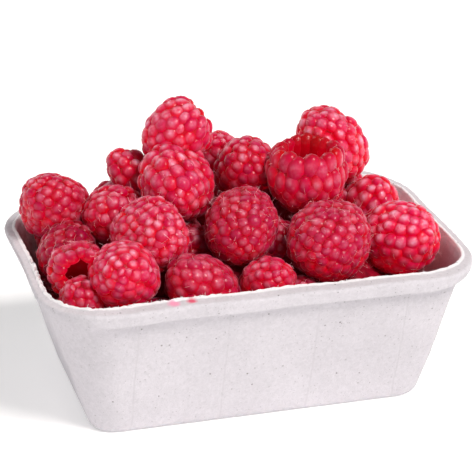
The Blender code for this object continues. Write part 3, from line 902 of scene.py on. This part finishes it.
def pulp_material(settings):
    """Moulded paper pulp: felted fibre dried on a wire mould, left uncoated.

    It is quite matt. Short fibres mottle it, and flecks of bark and ink show as fine dark specks. The
    fruit's juice has soaked into the rim in two places. The inside of both ends is tinted by juice and by
    painted light: pale pink painted light and painted reflection at the right end, painted shade at the
    left.
    """
    material, tree, shader = new_material("moulded_pulp")
    at = node(tree, "TexCoord", out="Object")
    inside, torn = (node(tree, "Attribute", out="Fac", attribute_name=name) for name in ("inside", "torn"))

    def sum_up(kind, *values):
        return node(tree, "Math", values, operation=kind)

    def spread(*values):
        return node(tree, "MapRange", values)

    def noise(size, **more):
        return node(tree, "TexNoise", {"Vector": at, "Scale": 1 / (size * MM), **more})

    def lay_tint(base, share, tint):
        return node(tree, "Mix", {0: share, 6: base, 7: rgba(tint)}, out=2, data_type="RGBA")

    # Felted fibres are about 0.02 mm thick; they are drawn in tufts of about 1 mm, which is what shows
    tufts = noise(1.2, Detail=6.0, Roughness=0.7, Distortion=0.8)
    clouds = noise(12.0)
    shade = sum_up("MULTIPLY", spread(tufts, 0.3, 0.7, 0.90, 1.07), spread(clouds, 0.3, 0.7, 0.97, 1.03))
    # Seams of the two-part mould run up the outside every 27 mm, about 0.4 mm wide, under the rim's lip
    along, level = (node(tree, "SeparateXYZ", [at], out=axis) for axis in ("X", "Z"))
    seam = sum_up("MULTIPLY_ADD", clouds, 1.4 * MM, along)
    seam = sum_up("PINGPONG", sum_up("ADD", seam, -0.7 * MM), SEAM_SPACING / 2 * MM)
    near = sum_up("ABSOLUTE", sum_up("SUBTRACT", seam, SEAM_SPACING / 2 * MM))
    line = sum_up("MULTIPLY", spread(near, 0.1 * MM, 0.45 * MM, 1.0, 0.0), sum_up("SUBTRACT", 1.0, inside))
    line = sum_up("MULTIPLY", line, spread(tufts, 0.35, 0.6, 0.4, 1.0))
    line = sum_up("MULTIPLY", line, spread(level, 40.6 * MM, 41.2 * MM, 1.0, 0.0))
    shade = sum_up("MULTIPLY", shade, spread(line, 0.0, 1.0, 1.0, 0.95))
    colour = node(tree, "HueSaturation", {"Value": shade, "Color": rgba(settings.pulp)})
    # Torn fibre stands loose and looks whiter than the pressed face. The whitening along the inner edge is
    # also painted light, which lifts the shade that the heap casts on the rim.
    colour = lay_tint(colour, sum_up("MULTIPLY", torn, 0.8), "f6f3f5")
    # Specks, warped by the tufts
    push = node(tree, "VectorMath", {0: noise(0.8).node.outputs["Color"], "Scale": 0.5 * MM},
                operation="SCALE")
    bent = node(tree, "VectorMath", (at, push), operation="ADD")
    for spacing, kept_share, reach, strength in SPECKS:
        spot = node(tree, "TexVoronoi", {"Vector": bent, "Scale": 1 / (spacing * MM)}, out="Distance")
        red, green, blue = node(tree, "SeparateColor", [spot.node.outputs["Color"]]).node.outputs
        kept = sum_up("LESS_THAN", red, kept_share)
        dot = spread(spot, 0.0, spread(green, 0.0, 1.0, 0.35 * reach, reach), 1.25, 0.0)
        share = sum_up("MULTIPLY", sum_up("MULTIPLY", dot, kept),
                       spread(blue, 0, 1, 0.35 * strength, strength))
        colour = lay_tint(colour, share, settings.speck)
    blot = noise(2.2, Detail=3.0)
    # Juice stains on the rim. Inside the ends: juice tint with painted light and painted reflection at the
    # right, painted shade at the left
    for spot, reach, tint, strength in STAINS_AND_PAINTED_LIGHT:
        away = node(tree, "VectorMath", (at, tuple(v * MM for v in spot)), out="Value",
                    operation="DISTANCE")
        warped = sum_up("MULTIPLY_ADD", blot, 0.9 * reach * MM, away)
        share = sum_up("MULTIPLY", spread(warped, 0.9 * reach * MM, 1.6 * reach * MM, strength, 0.0),
                       inside)
        if spot[2] < TRAY_HEIGHT - 1.0:
            share = sum_up("MULTIPLY", share, spread(level, 43.5 * MM, 45.0 * MM, 1.0, 0.0))
        colour = lay_tint(colour, share, tint)
    relief = sum_up("ADD", noise(0.5, Detail=4.0, Roughness=0.7), sum_up("MULTIPLY", tufts, 1.2))
    relief = sum_up("SUBTRACT", relief, sum_up("MULTIPLY", line, 0.7))
    feed(shader, {
        "Base Color": colour, "Roughness": 0.92, "IOR": 1.47, "Specular IOR Level": 0.25,
        "Normal": node(tree, "Bump", {"Strength": 0.7, "Distance": 0.13 * MM, "Height": relief})})
    return material


def colour_setting(name, description, code):
    """A colour that the user may change, given as an sRGB hex code."""
    return FloatVectorProperty(name=name, description=description, subtype="COLOR", size=3,
                               default=srgb(code), min=0.0, max=1.0)


def amount_setting(name, description, amount, **more):
    """A strength, or a length with its unit, that the user may change. It isn't negative."""
    return FloatProperty(name=name, description=description, default=amount, min=0.0, **more)


class PunnetTray(bpy.types.PropertyGroup):
    pulp: colour_setting("Pulp", "Colour of the bleached pulp", "d1cdd2")
    speck: colour_setting("Specks", "Colour of the flecks in the pulp", "5e5654")


class PunnetFruit(bpy.types.PropertyGroup):
    seed: IntProperty(name="Seed", description="Draw that makes each fruit unlike the next", default=41,
                      min=0)
    flesh: colour_setting("Crown", "Colour of a drupelet's crown", "ca0440")
    crease: colour_setting("Crease", "Colour between the drupelets", "b80020")
    # Pale colour of the crowns: the velvet's own colour and a painted highlight
    bloom_and_highlight: colour_setting("Bloom", "Colour of the velvet on the crowns", "f6b4cc")
    # Painted glow: strength of the emission that stands in for the light that the juice passes on
    glow: amount_setting("Glow", "Strength of the light that the juice passes on", 0.42)
    # Painted shade: colour of the fruit deep in the heap
    deep: colour_setting("Deep fruit", "Colour of the fruit out of the light", "a80c2c")
    hair: colour_setting("Hairs", "Colour of the dry hairs", "ffc8cc")
    hair_length: amount_setting("Hair length", "Length of a dry hair, in metres", 2.3 * MM, unit="LENGTH")
    hair_width: amount_setting("Hair width", "Width of a hair at its root, in metres", 0.11 * MM,
                               unit="LENGTH")


class PunnetStage(bpy.types.PropertyGroup):
    floor: colour_setting("Floor", "Colour of the floor", "fafafa")
    wall: amount_setting("Wall", "Strength of the light from the tent's wall", 1.0)
    table: amount_setting("Table", "Strength of the light that the floor gives", 0.25)
    sky: amount_setting("Sky", "Strength of the light from all round", 0.28)
    key: amount_setting("Key", "Strength of the soft key light", 2.8)
    rim: amount_setting("Rim", "Strength of the light from behind", 0.6)
    lens: amount_setting("Lens", "Focal length of the camera, in millimetres", 160.8)


class PUNNET_OT_tray(bpy.types.Operator):
    """Press the pulp tray with its flanged, torn rim"""
    bl_idname = "punnet.tray"
    bl_label = "Tray"

    def execute(self, context):
        loops, edge, outside = tray_loops()
        loops = tear_rim(tray_relief(loops), edge)
        rows = len(loops)
        head, tail = loops[0].mean(axis=0), loops[-1].mean(axis=0)
        column = loops[:, ARC_STEPS + LONG_STEPS // 2]
        steps = np.linalg.norm(np.diff(np.concatenate([head[None], column, tail[None]]), axis=0), axis=1)
        on_floor = (np.arange(rows + 1) < 4) | (np.arange(rows + 1) > rows - 4)
        steps = np.where(on_floor, 0.2 * steps, steps)
        levels = np.concatenate([[0], np.cumsum(steps)]) / steps.sum()

        def strip(column, level, number):
            """Two strips, one above the other, each half way round the tray."""
            half = (column.mean(axis=-1, keepdims=True) >= 0.5).astype(float)
            return 0.005 + 0.99 * (2 * column - half), (half + 0.01 + 0.98 * level) / 2

        order = np.arange(-1, rows + 1)
        inside = (order < outside).astype(float)
        # Rows of the rim's inner edge, which the pulp whitens as torn fibre and as painted light
        torn = ((order >= edge[0]) & (order < edge[1])).astype(float)
        part = make_part(loops[None], head[None], tail[None], levels, strip,
                         {"inside": inside[None], "torn": torn[None]})
        material = pulp_material(context.scene.punnet_tray)
        tray = join_parts("pulp_punnet", [part], material)
        fibres = join_parts("rim_fibres", [make_fibres(loops, edge, 21)], material)
        for piece in (tray, fibres):
            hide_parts("pulp_tray")
        return {"FINISHED"}


class PUNNET_OT_fruit(bpy.types.Operator):
    """Grow the raspberries, one piece for each habit, and the dark fruit under them"""
    bl_idname = "punnet.fruit"
    bl_label = "Raspberries"

    def execute(self, context):
        settings = context.scene.punnet_fruit
        material = raspberry_material(settings)
        pieces = [join_parts("deep_fruit", [make_core()], deep_fruit_material(settings))]
        for habit in HABITS:
            names = [name for name, spec in BERRIES.items() if spec[-1] == habit]
            pieces.append(join_parts(habit + "_raspberries", make_fruit(names, settings), material))
        for piece in pieces:
            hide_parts("berry_heap")
        return {"FINISHED"}


class PUNNET_OT_hairs(bpy.types.Operator):
    """Stand the dry hairs on the raspberries"""
    bl_idname = "punnet.hairs"
    bl_label = "Dry hairs"

    def execute(self, context):
        settings = context.scene.punnet_fruit
        hairs = join_parts("dry_hairs", [make_hairs(settings)], style_material(settings))
        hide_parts("berry_heap")
        return {"FINISHED"}


class PUNNET_OT_stage(bpy.types.Operator):
    """Set up the pale floor, the soft light and the camera"""
    bl_idname = "punnet.stage"
    bl_label = "Stage"

    def execute(self, context):
        settings = context.scene.punnet_stage
        half = 3.0
        mesh = bpy.data.meshes.new("floor")
        corners = [(-half, -half, 0), (half, -half, 0), (half, half, 0), (-half, half, 0)]
        mesh.from_pydata(corners, [], [(0, 1, 2, 3)])
        material, _, shader = new_material("matt_paper")
        feed(shader, {"Base Color": rgba(settings.floor), "Emission Color": rgba(settings.floor),
                      "Emission Strength": settings.table, "Roughness": 0.95, "Specular IOR Level": 0.1})
        mesh.materials.append(material)
        floor = bpy.data.objects.new("floor", mesh)
        context.scene.collection.objects.link(floor)

        world = bpy.data.worlds.new("soft_box")
        world.use_nodes = True
        # A light tent: its wall is bright near the floor and dimmer above
        tree = world.node_tree
        up = node(tree, "SeparateXYZ", [node(tree, "TexCoord", out="Generated")], out="Z")
        feed(tree.nodes["Background"], {
            "Color": rgba("fffeff"),
            "Strength": node(tree, "MapRange", (up, 0.14, 0.26, settings.wall, settings.sky),
                             interpolation_type="SMOOTHSTEP")})
        context.scene.world = world

        # Each lamp: strength, apparent size, heading from the front towards the right, and rise
        lamps = {"key": (settings.key, 20, 30, 52), "rim": (settings.rim, 30, 205, 40)}
        for name, (strength, size, heading, rise) in lamps.items():
            lamp = bpy.data.lights.new(name, "SUN")
            lamp.energy = strength
            lamp.angle = math.radians(size)
            lamp.color = srgb("fffaf6")
            held = bpy.data.objects.new(name, lamp)
            context.scene.collection.objects.link(held)
            heading, rise = math.radians(heading), math.radians(rise)
            towards = Vector((math.cos(rise) * math.sin(heading), -math.cos(rise) * math.cos(heading),
                              math.sin(rise)))
            held.rotation_euler = towards.to_track_quat("Z", "Y").to_euler()

        camera_data = bpy.data.cameras.new("camera")
        camera_data.lens = settings.lens
        camera_data.sensor_width = 36.0
        camera = bpy.data.objects.new("camera", camera_data)
        context.scene.collection.objects.link(camera)
        azimuth, elevation, roll = math.radians(-16.12), math.radians(22.74), math.radians(0.27)
        target = Vector((0.55, 0.0, 45.5)) * MM
        away = Vector((math.sin(azimuth) * math.cos(elevation), -math.cos(azimuth) * math.cos(elevation),
                       math.sin(elevation)))
        turn = away.to_track_quat("Z", "Y").to_matrix() @ Matrix.Rotation(roll, 3, "Z")
        camera.matrix_world = Matrix.Translation(target + away * 642.2 * MM) @ turn.to_4x4()
        context.scene.camera = camera
        context.scene.view_settings.view_transform = "Standard"
        return {"FINISHED"}


class PUNNET_PT_panel(bpy.types.Panel):
    """Lists the pieces"""
    bl_idname = "PUNNET_PT_panel"
    bl_label = "Raspberry punnet"
    bl_space_type = "VIEW_3D"
    bl_region_type = "UI"
    bl_category = "Punnet"

    def draw(self, context):
        for operator in OPERATORS:
            self.layout.operator(operator.bl_idname)


GROUPS = {"punnet_tray": PunnetTray, "punnet_fruit": PunnetFruit, "punnet_stage": PunnetStage}
OPERATORS = (PUNNET_OT_stage, PUNNET_OT_tray, PUNNET_OT_fruit, PUNNET_OT_hairs)


def register():
    for name, group in GROUPS.items():
        bpy.utils.register_class(group)
        setattr(bpy.types.Scene, name, PointerProperty(type=group))
    for operator in OPERATORS:
        bpy.utils.register_class(operator)
    bpy.utils.register_class(PUNNET_PT_panel)


def unregister():
    bpy.utils.unregister_class(PUNNET_PT_panel)
    for operator in reversed(OPERATORS):
        bpy.utils.unregister_class(operator)
    for name, group in GROUPS.items():
        delattr(bpy.types.Scene, name)
        bpy.utils.unregister_class(group)


def main():
    register()
    bpy.ops.punnet.stage()
    bpy.ops.punnet.tray()
    bpy.ops.punnet.fruit()
    bpy.ops.punnet.hairs()


if __name__ == "__main__":
    main()
